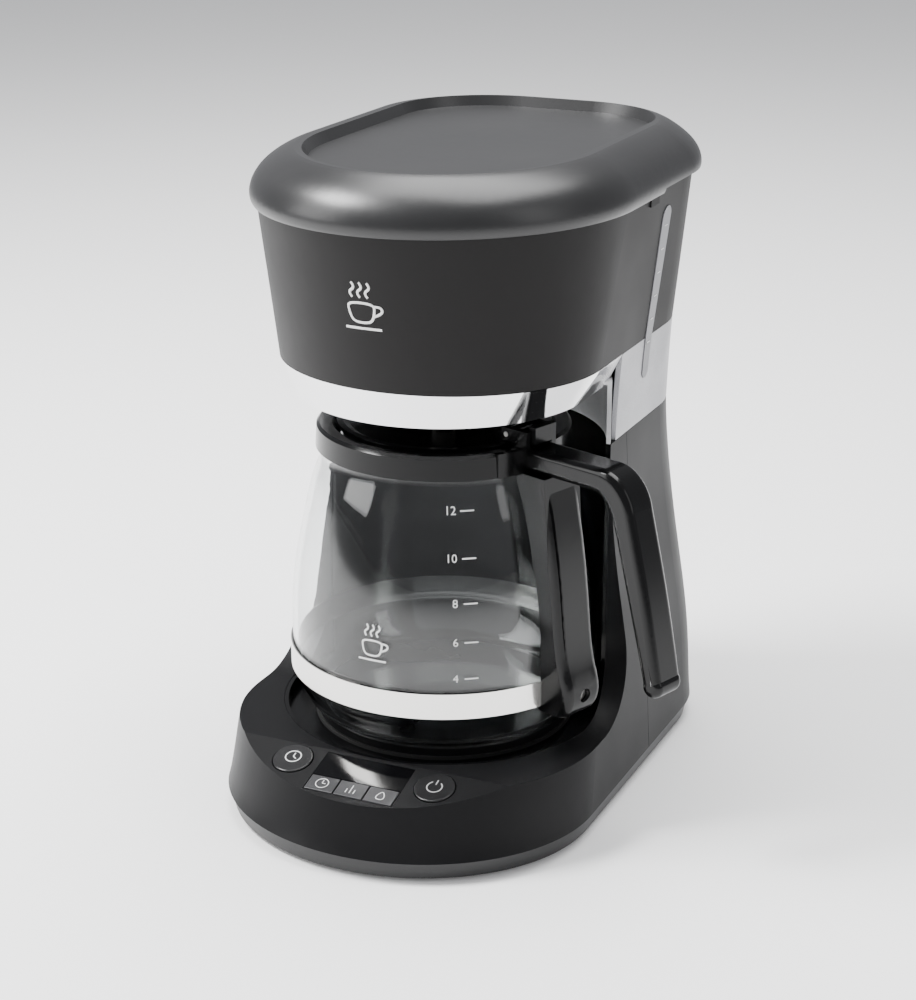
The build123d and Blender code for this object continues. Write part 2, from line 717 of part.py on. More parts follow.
# ---------------------------------------------------------------- lid
LID_ROWS = [
    (LID_HALF - 1.2, LID_FRONT + 1.2, LID_BACK - 1.2, 99, 69, LID_Z),
    (LID_HALF, LID_FRONT, LID_BACK, 100, 70, LID_Z + 4),
    (LID_HALF - 1.6, LID_FRONT + 1.6, LID_BACK - 1.6, 98, 68, LID_Z + 10),
    (LID_HALF - 5.6, LID_FRONT + 5.6, LID_BACK - 5.6, 94, 65, LID_Z + 15.5),
    (LID_HALF - 12, LID_FRONT + 12, LID_BACK - 11, 88, 60, LID_Z + 20.4),
    (LID_HALF - 20.5, LID_FRONT + 20.5, LID_BACK - 18, 80, 54, LID_TOP_Z),
]


def lid_body(inset=0.0, drop=0.0):
    faces = []
    for index, (half, front, back, nose, corner, z) in enumerate(LID_ROWS):
        level = z - drop if index else z - (3 if drop else 0)
        faces.append(outline(half, front, back, nose, corner, level, inset))
    return loft(faces)


PANEL_HALF = 63.5
PANEL_FRONT = -66.0
PANEL_BACK = 137.0
LID_T = 2.5


def panel_sink(inset=0.0, drop=0.0):
    low = outline(PANEL_HALF, PANEL_FRONT, PANEL_BACK, 76, 44, PANEL_Z - drop, -inset)
    high = outline(PANEL_HALF + 3, PANEL_FRONT - 3, PANEL_BACK + 2, 79, 46, LID_TOP_Z + 1, -inset)
    return loft([low, high], ruled=True)


LINER_Z = 292.4


def lid_shell():
    outer = lid_body() - panel_sink()
    inner = lid_body(LID_T, LID_T) - panel_sink(LID_T, LID_T)
    shell = outer - inner
    shell -= block(-120, 120, TAB_Y + 6, 200, 0, RIM_REAR_Z + 0.9)
    for x in HINGE_X:
        shell -= block(x - 5, x + 5, HINGE_Y - 7, LID_BACK + 5, 0, HINGE_Z + KNUCKLE_R + 1)
        for side in (-1, 1):
            mid = x + side * (4.4 + LID_KNUCKLE_W / 2)
            low, high = mid - LID_KNUCKLE_W / 2, mid + LID_KNUCKLE_W / 2
            knuckle = cross_rod(KNUCKLE_R, low, high, HINGE_Y, HINGE_Z)
            knuckle += block(low, high, HINGE_Y - 2, HINGE_Y + KNUCKLE_R, HINGE_Z, HINGE_Z + 16)
            knuckle -= cross_rod(HINGE_PIN_R + 0.05, low - 1, high + 1, HINGE_Y, HINGE_Z)
            knuckle -= lid_body(LID_T - 0.4, LID_T).moved(Location((0, 0, 300)))
            shell += knuckle & lid_hold
        shell -= cross_rod(HINGE_PIN_R + 0.05, x - 16, x + 16, HINGE_Y, HINGE_Z)
    for x, y in lid_screw_spots:
        shell += rod(BOSS_R, LINER_Z + 1.6, PANEL_Z - 1, x, y) - rod(SCREW_R, 0, PANEL_Z - 4, x, y)
    return whole(shell)


lid_hold = lid_body(0.3, 0.0) + block(-120, 120, HINGE_Y - 4, HINGE_Y + 3.2, HINGE_Z - 4, LID_Z + 5)
lid_screw_spots = [(-50, -40), (50, -40), (-50, 110), (50, 110)]


def lid_liner():
    """Flat cover inside the lid that carries the shower head."""
    liner = outline(LID_HALF, LID_FRONT, HINGE_Y - 3.5, 100, 66, LINER_Z, 6.5)
    liner = extrude(liner, 1.6)
    liner -= rod(SHOWER_R + FIT, 0, 400)
    liner -= rod(7.5, 0, 400, *RISER)
    for x, y in lid_screw_spots:
        liner -= rod(SCREW_R + 0.1, 0, 400, x, y)
    return liner


SHOWER_R = 30.0


def shower_head():
    """Perforated disc over the basket with the duct that brings the water to it."""
    x, y = RISER
    length = math.hypot(x, y)
    turn = math.degrees(math.atan2(y, x))
    z0 = LINER_Z + 1.6 + 0.2
    duct = Pos(0, 0, z0 + 4) * Rot(0, 0, turn) * Pos(length / 2, 0, 0) * Box(length, 14, 8)
    duct += rod(SHOWER_R + 3, z0, z0 + 8) + rod(10, z0, z0 + 8, x, y)
    hollow = Pos(0, 0, z0 + 4) * Rot(0, 0, turn) * Pos(length / 2, 0, 0) * Box(length, 10, 5)
    duct -= hollow
    duct += rod(SHOWER_R, LINER_Z - 4, z0 + 1)
    duct -= rod(SHOWER_R - 2, LINER_Z - 2, z0 + 6.5)
    duct -= rod(6.2, 0, z0 + 5, x, y)
    for radius, count in ((9, 6), (18, 12)):
        for i in range(count):
            angle = 2 * math.pi * i / count
            duct -= rod(1.3, 0, LINER_Z - 1, radius * math.cos(angle), radius * math.sin(angle))
    return whole(duct)


def lid_screws():
    return [screw(x, y, LINER_Z - 1.8, PANEL_Z - 5) for x, y in lid_screw_spots]


def lid_hinge_pins():
    return [cross_rod(HINGE_PIN_R, x - 11, x + 11, HINGE_Y, HINGE_Z) for x in HINGE_X]


# ---------------------------------------------------------------- carafe
GLASS_LOW = PLATE_Z + 0.3
GLASS_TOP = 180.0


def glass_profile(inset):
    """Half section of the glass, drawn in by inset."""
    foot = GLASS_FOOT_R - inset
    low = GLASS_LOW + inset
    wide = GLASS_R - inset
    neck = 58.0 - inset
    points = [(foot, low), (foot + 7.2, low + 7.5), (wide - 0.6, low + 20), (wide, low + 34)]
    side = [(wide, low + 34), (wide - 1.0, 105), (66.8 - inset, 140), (60.5 - inset, 163),
            (neck, 172)]
    edges = [
        Line((0, 0, low), (foot, 0, low)),
        Spline(*[(r, 0, z) for r, z in points], tangents=[(0.96, 0, 0.3), (0, 0, 1)]),
        Spline(*[(r, 0, z) for r, z in side], tangents=[(0, 0, 1), (-0.05, 0, 1)]),
        Line((neck, 0, 172), (neck, 0, GLASS_TOP)),
        Line((neck, 0, GLASS_TOP), (0, 0, GLASS_TOP)),
        Line((0, 0, GLASS_TOP), (0, 0, low)),
    ]
    return Face(Wire(edges))


def carafe_glass():
    outer = revolve(glass_profile(0), Axis.Z)
    inner = revolve(glass_profile(GLASS_WALL), Axis.Z)
    mouth = rod(58.0 - GLASS_WALL, GLASS_TOP - 1, GLASS_TOP + 1)
    return whole(outer - inner - mouth)


handle_turn = Rot(0, 0, HANDLE_AZ)
glass_solid = revolve(glass_profile(-0.15), Axis.Z)


def carafe_collar():
    """Black ring clamped round the neck, with its inner ledge for the lid."""
    points = [(58.25, COLLAR_Z), (COLLAR_R, COLLAR_Z), (COLLAR_R - 0.6, COLLAR_TOP - 1.5),
              (COLLAR_R - 2, COLLAR_TOP), (COLLAR_R - 8, COLLAR_TOP - 0.6),
              (COLLAR_R - 9.6, COLLAR_TOP - 1.8), (COLLAR_R - 9.6, GLASS_TOP + 0.3),
              (58.25, GLASS_TOP + 0.3)]
    collar = turned(points)
    seat = ring(COLLAR_R + 10, ROOT_R - 0.15, 0, 400) & block(0, 200, -ROOT_HALF, ROOT_HALF, 0, 400)
    return whole(collar - handle_turn * seat)


ROOT_HALF = 24.0        # half width of the handle where it joins the collar
ROOT_R = COLLAR_R - 2.4
STRAP_HALF = 12.0


def side_solid(face, half):
    """Side view of the handle made solid, half to each side of its middle plane."""
    return Pos(0, -half, 0) * extrude(face, 2 * half, dir=(0, 1, 0))


def grip_face():
    """Side view of the handle: arm, bend and flared open grip."""
    r = HANDLE_REACH
    z = COLLAR_TOP
    bend = Spline((r - 38, 0, z), (r - 26, 0, z - 4.5), (r - 18.4, 0, z - 17),
                  tangents=[(1, 0, 0), (0.26, 0, -1)])
    outer = Spline(bend @ 1, (r - 8.6, 0, z - 55), (r - 0.6, 0, 92),
                   tangents=[(0.26, 0, -1), (0.2, 0, -1)])
    inner = Spline((r - 9.8, 0, 90), (r - 18.4, 0, 122), (r - 26.6, 0, 152),
                   tangents=[(-0.26, 0, 1), (-0.27, 0, 1)])
    crook = Spline(inner @ 1, (r - 30.5, 0, 164), (r - 42, 0, COLLAR_Z + 0.2),
                   tangents=[(-0.27, 0, 1), (-1, 0, 0)])
    tip = ThreePointArc(outer @ 1, (r - 5, 0, 83.5), inner @ 0)
    root_low = (ROOT_R, 0, COLLAR_Z + 0.2)
    root_top = (ROOT_R, 0, z)
    edges = [bend, outer, tip, inner, crook, Line(crook @ 1, root_low), Line(root_low, root_top),
             Line(root_top, bend @ 0)]
    return Face(Wire(edges))


def strap_face():
    """Side view of the strap that runs down the glass to the steel band."""
    top = COLLAR_Z + 0.3
    outer = Spline((74.5, 0, 166), (79.5, 0, 140), (84, 0, 106), (88.3, 0, 80), (90.5, 0, 68),
                   (87, 0, 59.5), tangents=[(0.17, 0, -1), (-0.8, 0, -0.8)])
    edges = [Line((57, 0, top), (74, 0, top)), Line((74, 0, top), (74.5, 0, 166)), outer,
             Line(outer @ 1, (57, 0, 59.5)), Line((57, 0, 59.5), (57, 0, top))]
    return Face(Wire(edges))


GRIP_ROUND = 3.5        # rounding along the grip
STRAP_ROUND = 4.0       # rounding along the strap's outer corners


def side_edges(solid, half, x_min, z_max):
    """Edges that run along the two flat sides of a handle solid, beyond x_min and below z_max."""
    return [e for e in solid.edges() if abs(abs(e.center().Y) - half) < 0.01
            and e.center().X > x_min and e.center().Z < z_max]


def carafe_handle():
    grip = side_solid(grip_face(), HANDLE_HALF)
    grip = fillet(side_edges(grip, HANDLE_HALF, ROOT_R + 5, COLLAR_TOP + 1), GRIP_ROUND)
    root = ring(COLLAR_R + 0.5, ROOT_R, COLLAR_Z, COLLAR_TOP)
    root &= block(0, 200, -ROOT_HALF + 0.15, ROOT_HALF - 0.15, 0, 400)
    strap = side_solid(strap_face(), STRAP_HALF)
    strap = fillet(side_edges(strap, STRAP_HALF, 79, 160), STRAP_ROUND)
    handle = grip + root + strap
    for side in (-1, 1):
        near, far = sorted((side * EAR_IN, side * EAR_OUT))
        ear = block(PIN_X - 3, COLLAR_R + 0.2, near, far, PIN_Z - 3.2, PIN_Z + 3)
        ear += block(PIN_X + 3, COLLAR_R + 0.2, near, far, COLLAR_TOP + 0.2, PIN_Z)
        handle += ear + block(ROOT_R + 0.1, COLLAR_R + 0.2, near, far, COLLAR_TOP - 2, PIN_Z)
    handle -= Pos(PIN_X, 0, PIN_Z) * Rot(90, 0, 0) * Cylinder(CARAFE_PIN_R, 2 * EAR_OUT + 2)
    handle -= glass_solid
    handle -= rod(ROOT_R - 0.05, 0, COLLAR_Z + 5)
    handle -= ring(BAND_OUT + 0.15, 50, BAND_Z - 0.2, BAND_TOP + 0.2)
    handle -= out_rod(SCREW_R + 0.1, 50, 110)
    handle -= out_rod(SCREW_HEAD_R + 0.4, SCREW_SEAT_R, 110)
    handle -= out_rod(NUT_R + 0.3, 60, BAND_OUT + NUT_H + 0.3)
    return handle_turn * whole(handle)


BAND_T = 0.8
BAND_OUT = GLASS_R + 0.2 + BAND_T
NUT_R = 3.4
NUT_H = 3.4
SCREW_SEAT_R = 86.0     # how far out the band screw's head sits


def out_rod(radius, r0, r1):
    """Cylinder pointing straight out from the carafe at the band's mid height."""
    return Pos((r0 + r1) / 2, 0, (BAND_Z + BAND_TOP) / 2) * Rot(0, 90, 0) * Cylinder(radius, r1 - r0)


def carafe_band():
    """Steel band round the glass with its nut under the handle's strap."""
    band = ring(BAND_OUT, GLASS_R + 0.2, BAND_Z, BAND_TOP) + out_rod(NUT_R, BAND_OUT - 0.2, BAND_OUT + NUT_H)
    return handle_turn * (band - out_rod(SCREW_R, 50, 110))


def band_screw():
    head = out_rod(SCREW_HEAD_R, SCREW_SEAT_R + 0.1, SCREW_SEAT_R + 1.9)
    return handle_turn * (head + out_rod(SCREW_R - 0.05, BAND_OUT - 0.3, SCREW_SEAT_R + 0.3))


LID_HUB_R = 9.0
LID_EDGE_R = COLLAR_R - 10.2
CARAFE_PIN_R = 1.2
PIN_X = 49.0            # carafe lid hinge, towards the handle
PIN_Z = 189.4
EAR_IN = 7.4            # ears on the handle that hold the lid's pin
EAR_OUT = 10.2


def carafe_lid():
    """Dished black lid with a ramped hub that lifts the drip stop, and a thumb lever."""
    points = [(3.5, 186.6), (LID_EDGE_R - 4, 181.8), (LID_EDGE_R - 4, GLASS_TOP - 4),
              (LID_EDGE_R - 2, GLASS_TOP - 4), (LID_EDGE_R - 2, 182.2),
              (LID_EDGE_R, 183.2), (LID_EDGE_R, 185.2), (LID_EDGE_R - 3, 185.2),
              (LID_EDGE_R - 6, 184.0), (16, 187.4), (LID_HUB_R, 194.6), (5.5, 195.3),
              (3.5, 195.3)]
    lid = turned(points)
    for i in range(3):
        lid -= Rot(0, 0, 120 * i) * block(1, 7, -1.2, 1.2, 187.5, 196)
    lever_z = COLLAR_TOP + 2.2
    lever = block(PIN_X - 10, PIN_X + 15, -7, 7, lever_z, PIN_Z)
    lever += block(PIN_X - 10, PIN_X - 3.2, -7, 7, GLASS_TOP + 3, PIN_Z)
    lever += block(PIN_X + 11, PIN_X + 15, -7, 7, lever_z, PIN_Z + 5)
    barrel = Pos(PIN_X, 0, PIN_Z) * Rot(90, 0, 0) * Cylinder(2.6, 14)
    lid += lever + barrel
    lid -= Pos(PIN_X, 0, PIN_Z) * Rot(90, 0, 0) * Cylinder(CARAFE_PIN_R + 0.05, 40)
    return handle_turn * whole(lid)


def carafe_lid_pin():
    return handle_turn * Pos(PIN_X, 0, PIN_Z) * Rot(90, 0, 0) * Cylinder(CARAFE_PIN_R, 2 * EAR_OUT + 0.8)


# ---------------------------------------------------------------- build and write
parts["bottom_pan"] = bottom_pan()
parts["base_shell"] = base_shell()
parts["rear_cover"] = rear_cover()
parts["cord_grommet"] = cord_grommet()
parts["bay_liner"] = bay_liner()
parts["plate_seal"] = plate_seal()
parts["warming_plate"] = warming_plate()
parts["waist_band"] = waist_band()
parts["chrome_ring"] = chrome_ring()
parts["upper_housing"] = upper_housing()
parts["water_window"] = water_window()
parts["water_tank"] = water_tank()
parts["inner_deck"] = inner_deck()
parts["brew_basket"] = brew_basket()
parts["drip_valve"] = drip_valve()
parts["drip_spring"] = drip_spring()
parts["heater_tube"] = heater_tube()
parts["heater_clamp"] = heater_clamp()
parts["thermostat"] = thermostat()
parts["thermal_fuses"] = thermal_fuses()
parts["inlet_hose"] = inlet_hose()
parts["riser_hose"] = riser_hose()
parts["check_valve"] = check_valve()
parts["hose_clips"] = hose_clips()
parts["outlet_nozzle"] = outlet_nozzle()
parts["display_lens"] = display_lens()
for name, x in round_buttons.items():
    parts[name] = round_button(x)
for name, x in zip(key_names, key_x):
    parts[name] = key_button(x)
parts["control_board"] = control_board()
parts["lcd_module"] = lcd_module()
parts["panel_switches"] = panel_switches()
parts["power_board"] = power_board()
parts["rubber_feet"] = rubber_feet()
parts["base_screws"] = base_screws()
parts["lid_shell"] = lid_shell()
parts["lid_liner"] = lid_liner()
parts["shower_head"] = shower_head()
parts["lid_screws"] = lid_screws()
parts["lid_hinge_pins"] = lid_hinge_pins()
parts["carafe_glass"] = carafe_glass()
parts["carafe_collar"] = carafe_collar()
parts["carafe_handle"] = carafe_handle()
parts["carafe_band"] = carafe_band()
parts["band_screw"] = band_screw()
parts["carafe_lid"] = carafe_lid()
parts["carafe_lid_pin"] = carafe_lid_pin()


def solids_of(piece):
    if isinstance(piece, (list, ShapeList)):
        return [s for item in piece for s in item.solids()]
    return list(piece.solids())


everything = Compound(children=[s for piece in parts.values() for s in solids_of(piece)])
box = everything.bounding_box()
home = Location((-(box.min.X + box.max.X) / 2, -(box.min.Y + box.max.Y) / 2, -box.min.Z))
print("carafe axis at", round(home.position.X, 4), round(home.position.Y, 4))
print("size", box.size)

os.makedirs("parts", exist_ok=True)
for name, piece in parts.items():
    solids = [s.moved(home) for s in solids_of(piece)]
    shape = solids[0] if len(solids) == 1 else Compound(children=solids)
    export_step(shape, f"parts/{name}.step")
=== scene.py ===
import math
import bpy
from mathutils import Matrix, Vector


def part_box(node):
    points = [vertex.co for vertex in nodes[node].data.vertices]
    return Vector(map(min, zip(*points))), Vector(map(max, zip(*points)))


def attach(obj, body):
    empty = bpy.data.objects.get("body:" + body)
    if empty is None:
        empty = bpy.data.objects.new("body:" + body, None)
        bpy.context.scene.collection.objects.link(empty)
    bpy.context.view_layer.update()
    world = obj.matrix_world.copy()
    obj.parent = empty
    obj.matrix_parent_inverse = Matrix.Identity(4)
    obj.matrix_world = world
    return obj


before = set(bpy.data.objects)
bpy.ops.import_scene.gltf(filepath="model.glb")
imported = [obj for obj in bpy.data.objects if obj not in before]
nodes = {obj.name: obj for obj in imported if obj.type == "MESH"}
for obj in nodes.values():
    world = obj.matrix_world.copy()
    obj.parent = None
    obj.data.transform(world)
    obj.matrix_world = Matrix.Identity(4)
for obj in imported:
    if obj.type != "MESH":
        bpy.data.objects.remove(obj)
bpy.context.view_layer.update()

# ---- base shell and rear cover
# The lower body is two injection mouldings in black plastic, with the fine satin that a
# spark-eroded tool leaves.  They meet at an upright seam on each side of the column.


def moulded(name, colour, roughness, grain=900.0, depth=0.06, gloss_coat=0.0, swing=0.05,
            shine=0.35):
    """Moulded plastic: even colour, faint cloudy gloss (swing) and the tool's grain."""
    finish = bpy.data.materials.new(name)
    finish.use_nodes = True
    tree = finish.node_tree
    shader = tree.nodes["Principled BSDF"]
    place = tree.nodes.new("ShaderNodeTexCoord")
    cloud = tree.nodes.new("ShaderNodeTexNoise")
    cloud.inputs["Scale"].default_value = 14.0
    cloud.inputs["Detail"].default_value = 4.0
    tree.links.new(place.outputs["Object"], cloud.inputs["Vector"])
    gloss = tree.nodes.new("ShaderNodeMapRange")
    gloss.inputs["From Min"].default_value = 0.3
    gloss.inputs["From Max"].default_value = 0.7
    gloss.inputs["To Min"].default_value = roughness - swing
    gloss.inputs["To Max"].default_value = roughness + swing
    tree.links.new(cloud.outputs["Fac"], gloss.inputs["Value"])
    tree.links.new(gloss.outputs["Result"], shader.inputs["Roughness"])
    tint = tree.nodes.new("ShaderNodeValToRGB")
    tint.color_ramp.elements[0].position = 0.35
    tint.color_ramp.elements[0].color = [c * 0.92 for c in colour] + [1]
    tint.color_ramp.elements[1].position = 0.65
    tint.color_ramp.elements[1].color = [min(1, c * 1.08) for c in colour] + [1]
    tree.links.new(cloud.outputs["Fac"], tint.inputs["Fac"])
    tree.links.new(tint.outputs["Color"], shader.inputs["Base Color"])
    if depth:
        tool = tree.nodes.new("ShaderNodeTexNoise")
        tool.inputs["Scale"].default_value = grain
        tool.inputs["Detail"].default_value = 2.0
        tree.links.new(place.outputs["Object"], tool.inputs["Vector"])
        bump = tree.nodes.new("ShaderNodeBump")
        bump.inputs["Strength"].default_value = depth
        bump.inputs["Distance"].default_value = 0.0003
        tree.links.new(tool.outputs["Fac"], bump.inputs["Height"])
        tree.links.new(bump.outputs["Normal"], shader.inputs["Normal"])
    shader.inputs["Specular IOR Level"].default_value = shine
    shader.inputs["Coat Weight"].default_value = gloss_coat
    shader.inputs["Coat Roughness"].default_value = 0.08
    return finish


def dress(finish, *names):
    """Give CAD nodes their finish."""
    for name in names:
        slots = nodes[name].material_slots
        if slots:
            for slot in slots:
                slot.link = "OBJECT"
                slot.material = finish
        else:
            nodes[name].data.materials.append(finish)


satin_black = moulded("satin_black", (0.0045, 0.0045, 0.005), 0.42, 1400, 0.10, shine=0.14)
dress(satin_black, "base_shell", "rear_cover")

# ---- bottom pan and rubber feet
# The pan is a separate tray, moulded a shade lighter and duller than the shell above it.
# Four rubber feet are pushed into it from below.
pan_black = moulded("pan_black", (0.017, 0.017, 0.0175), 0.42, 1100, 0.12)
dress(pan_black, "bottom_pan")
foot_rubber = moulded("foot_rubber", (0.012, 0.012, 0.012), 0.8, 2200, 0.2)
dress(foot_rubber, "rubber_feet", "cord_grommet", "plate_seal", "drip_valve")

# ---- upper housing
# One charcoal moulding round the brewing parts.  Its skin is matte, with a slightly warm
# grey cast, and it is clipped down over the column and the bowl.
charcoal = moulded("charcoal", (0.0078, 0.0072, 0.0073), 0.5, 1600, 0.12, shine=0.16)
dress(charcoal, "upper_housing")

# ---- lid and the brewing parts under it
# Satin black lid whose rolled rim shows a wide sheen.  The liner and shower head are
# screwed to its underside; they, the deck, the basket and the nozzle are plain black.
lid_black = moulded("lid_black", (0.0115, 0.0115, 0.012), 0.35, 1600, 0.10, shine=0.5)
dress(lid_black, "lid_shell")
inner_black = moulded("inner_black", (0.012, 0.012, 0.012), 0.5, 1000, 0.15)
dress(inner_black, "lid_liner", "shower_head", "inner_deck", "brew_basket", "outlet_nozzle")

# ---- well and bay wall
# One polished black moulding lines the bay and the well round the plate.  It catches
# drips and wipes clean, so its skin is smoother than the shell's.
gloss_black = moulded("gloss_black", (0.002, 0.002, 0.0022), 0.2, 300, 0.0, 0.0, 0.03,
                      shine=0.16)
dress(gloss_black, "bay_liner")

# ---- warming plate
# Pressed steel disc with a dark non-stick coat, slightly speckled, held down over the
# heater on a rubber seal.
plate_coat = moulded("plate_coat", (0.007, 0.007, 0.0075), 0.3, 700, 0.25, shine=0.3)
dress(plate_coat, "warming_plate")

# ---- silver side band
# The waist is a plastic moulding painted in a satin silver.  The paint holds fine metal
# flakes, which show as a faint sparkle under the gloss.


def bright_metal(name, colour, roughness, flake=0.0, metallic=1.0):
    """Metal or metallic paint, with fine flakes or polishing marks in its gloss."""
    finish = bpy.data.materials.new(name)
    finish.use_nodes = True
    tree = finish.node_tree
    shader = tree.nodes["Principled BSDF"]
    shader.inputs["Metallic"].default_value = metallic
    place = tree.nodes.new("ShaderNodeTexCoord")
    flakes = tree.nodes.new("ShaderNodeTexNoise")
    flakes.inputs["Scale"].default_value = 1800.0
    flakes.inputs["Detail"].default_value = 1.0
    tree.links.new(place.outputs["Object"], flakes.inputs["Vector"])
    wear = tree.nodes.new("ShaderNodeTexNoise")
    wear.inputs["Scale"].default_value = 22.0
    wear.inputs["Detail"].default_value = 5.0
    tree.links.new(place.outputs["Object"], wear.inputs["Vector"])
    tint = tree.nodes.new("ShaderNodeValToRGB")
    tint.color_ramp.elements[0].position = 0.3
    tint.color_ramp.elements[0].color = [c * (1 - flake) for c in colour] + [1]
    tint.color_ramp.elements[1].position = 0.7
    tint.color_ramp.elements[1].color = [min(1, c * (1 + flake)) for c in colour] + [1]
    tree.links.new(flakes.outputs["Fac"], tint.inputs["Fac"])
    tree.links.new(tint.outputs["Color"], shader.inputs["Base Color"])
    gloss = tree.nodes.new("ShaderNodeMapRange")
    gloss.inputs["From Min"].default_value = 0.35
    gloss.inputs["From Max"].default_value = 0.65
    gloss.inputs["To Min"].default_value = roughness * 0.8
    gloss.inputs["To Max"].default_value = roughness * 1.25
    tree.links.new(wear.outputs["Fac"], gloss.inputs["Value"])
    tree.links.new(gloss.outputs["Result"], shader.inputs["Roughness"])
    return finish


silver_paint = bright_metal("silver_paint", (0.35, 0.35, 0.365), 0.36, 0.12, 0.8)
dress(silver_paint, "waist_band")

# ---- chrome ring
# Plastic bowl plated with bright chrome, moulded in one with the frame round the top of
# the bay.  From about the jug's axis back, inside the bay, the chrome is turned into a pale,
# nearly diffuse grey: painted reflection, a pale patch standing in for the bright
# reflections that the chrome shows there.
chrome_gloss = 0.05
chrome_plate = bright_metal("chrome_plate", (0.86, 0.86, 0.87), chrome_gloss, 0.01)
dress(chrome_plate, "chrome_ring")
painted_reflection_from_y, painted_reflection_full_y = -0.010, 0.004
painted_reflection_metal, painted_reflection_roughness = 0.15, 0.3
plated = chrome_plate.node_tree
plated_shader = plated.nodes["Principled BSDF"]
plated_place = plated.nodes.new("ShaderNodeTexCoord")
plated_axes = plated.nodes.new("ShaderNodeSeparateXYZ")
plated.links.new(plated_place.outputs["Object"], plated_axes.inputs["Vector"])
# Painted reflection: towards the back the metallic falls and the roughness rises, so the pale
# base colour shows as a bright diffuse patch in place of the chrome's reflections.
for socket, in_front, behind in (("Metallic", 1.0, painted_reflection_metal),
                                 ("Roughness", chrome_gloss, painted_reflection_roughness)):
    fade = plated.nodes.new("ShaderNodeMapRange")
    fade.inputs["From Min"].default_value = painted_reflection_from_y
    fade.inputs["From Max"].default_value = painted_reflection_full_y
    fade.inputs["To Min"].default_value = in_front
    fade.inputs["To Max"].default_value = behind
    plated.links.new(plated_axes.outputs["Y"], fade.inputs["Value"])
    plated.links.new(fade.outputs["Result"], plated_shader.inputs[socket])

# ---- hidden works and fixings
# Heater, boards, hoses, screws and pins, nearly all inside the shells.  They are bought
# in, so each is in its maker's finish: cast aluminium, steel, silicone, green board.
cast_aluminium = bright_metal("cast_aluminium", (0.6, 0.6, 0.6), 0.45, 0.1)
dress(cast_aluminium, "heater_tube")
plain_steel = bright_metal("plain_steel", (0.58, 0.57, 0.55), 0.3, 0.05)
dress(plain_steel, "heater_clamp", "thermostat", "thermal_fuses", "hose_clips", "drip_spring",
      "base_screws", "lid_screws", "lid_hinge_pins", "band_screw", "carafe_lid_pin",
      "panel_switches")
milky_silicone = moulded("milky_silicone", (0.62, 0.61, 0.58), 0.5, 600, 0.1)
dress(milky_silicone, "inlet_hose", "riser_hose", "check_valve")
board_green = moulded("board_green", (0.02, 0.11, 0.04), 0.4, 500, 0.3)
dress(board_green, "control_board", "power_board")
cell_grey = moulded("cell_grey", (0.05, 0.06, 0.055), 0.3, 500, 0.1)
dress(cell_grey, "lcd_module")

# ---- carafe handle, collar and lid
# Three mouldings in one polished black plastic, glossier than the machine.  The collar
# and handle grip the jug's neck and the lid turns on a pin between the collar's ears.
handle_gloss = moulded("handle_gloss", (0.0022, 0.0022, 0.0024), 0.17, 260, 0.02, 0.05, 0.04,
                       shine=0.22)
dress(handle_gloss, "carafe_handle", "carafe_collar", "carafe_lid")

# ---- steel band of the carafe
# Thin polished stainless strip, drawn tight round the glass by a screw in the handle's
# foot.
polished_steel = bright_metal("polished_steel", (0.82, 0.81, 0.78), 0.16, 0.02)
dress(polished_steel, "carafe_band")

# ---- buttons, keys and display window
# Two round buttons in smooth black and three dark grey keys, each guided by its hole in
# the deck, and a smoked display window bonded in flush behind the keys.
button_black = moulded("button_black", (0.008, 0.008, 0.0085), 0.25, 300, 0.03, 0.1, 0.03)
dress(button_black, "start_button", "delay_button")
key_grey = moulded("key_grey", (0.028, 0.028, 0.03), 0.38, 900, 0.08)
dress(key_grey, "hour_button", "minute_button", "clean_button")
smoked_window = moulded("smoked_window", (0.002, 0.002, 0.0024), 0.08, 300, 0.0, 0.0, 0.01,
                        shine=0.2)
dress(smoked_window, "display_lens")

# ---- carafe glass
# Jug blown in a mould from heat-proof glass, with a thin even wall, slow waves in it and
# a faint cool tint.


def clear_wall(name, colour, roughness, ior, transmission=1.0):
    """Clear or smoky wall, with slow waves from the mould."""
    finish = bpy.data.materials.new(name)
    finish.use_nodes = True
    tree = finish.node_tree
    shader = tree.nodes["Principled BSDF"]
    shader.inputs["Transmission Weight"].default_value = transmission
    shader.inputs["Roughness"].default_value = roughness
    shader.inputs["IOR"].default_value = ior
    shader.inputs["Specular IOR Level"].default_value = 0.3
    place = tree.nodes.new("ShaderNodeTexCoord")
    waves = tree.nodes.new("ShaderNodeTexNoise")
    waves.inputs["Scale"].default_value = 9.0
    waves.inputs["Detail"].default_value = 1.0
    tree.links.new(place.outputs["Object"], waves.inputs["Vector"])
    bump = tree.nodes.new("ShaderNodeBump")
    bump.inputs["Strength"].default_value = 0.12
    bump.inputs["Distance"].default_value = 0.002
    tree.links.new(waves.outputs["Fac"], bump.inputs["Height"])
    tree.links.new(bump.outputs["Normal"], shader.inputs["Normal"])
    tint = tree.nodes.new("ShaderNodeValToRGB")
    tint.color_ramp.elements[0].color = [c * 0.985 for c in colour] + [1]
    tint.color_ramp.elements[1].color = list(colour) + [1]
    tree.links.new(waves.outputs["Fac"], tint.inputs["Fac"])
    tree.links.new(tint.outputs["Color"], shader.inputs["Base Color"])
    return finish


jug_glass = clear_wall("jug_glass", (0.95, 0.965, 0.965), 0.0, 1.45)
dress(jug_glass, "carafe_glass")

# ---- water tank and water window
# The tank is moulded in smoky clear plastic.  Its window is a greyish, half clear strip
# let into the housing and the silver band, which shows the water's level.
smoky = clear_wall("smoky", (0.55, 0.57, 0.6), 0.15, 1.4)
dress(smoky, "water_tank")
milky_window = clear_wall("milky_window", (0.27, 0.27, 0.29), 0.3, 1.35, 0.3)
dress(milky_window, "water_window")

